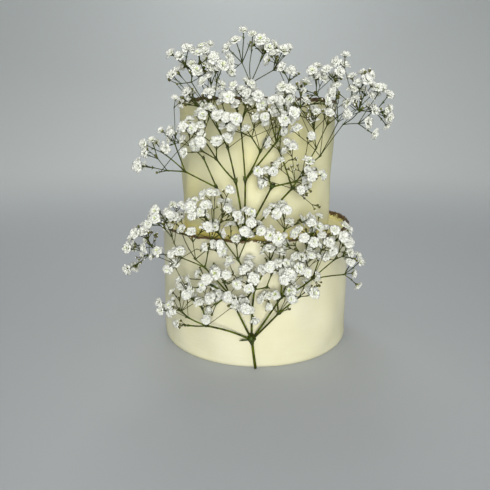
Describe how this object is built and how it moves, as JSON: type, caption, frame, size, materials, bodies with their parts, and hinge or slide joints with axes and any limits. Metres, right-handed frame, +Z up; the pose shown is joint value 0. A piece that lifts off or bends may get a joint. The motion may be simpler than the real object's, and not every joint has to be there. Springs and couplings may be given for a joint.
{
  "type": "wedding cake",
  "caption": "Tall round wedding cake in stacked iced tiers with a raised, torn-edged icing lip on each and sprays of small white flowers on its front.",
  "frame": {"origin": "middle of the flat base, on the surface that the cake stands on", "axes": "+Z up through both tiers, -Y towards the front, where the sprays are, +X to the right of someone who looks at the front"},
  "size_m": [0.2398, 0.2659, 0.3182],
  "materials": {
    "icing": "smooth satin ivory icing, its torn lips painted dark bronze",
    "flowers": "matte white petals on thin green stems"
  },
  "bodies": {
    "root": {"lower_tier": "icing", "upper_tier": "icing", "upper_spray": "flowers", "lower_spray": "flowers"}
  },
  "joints": []
}
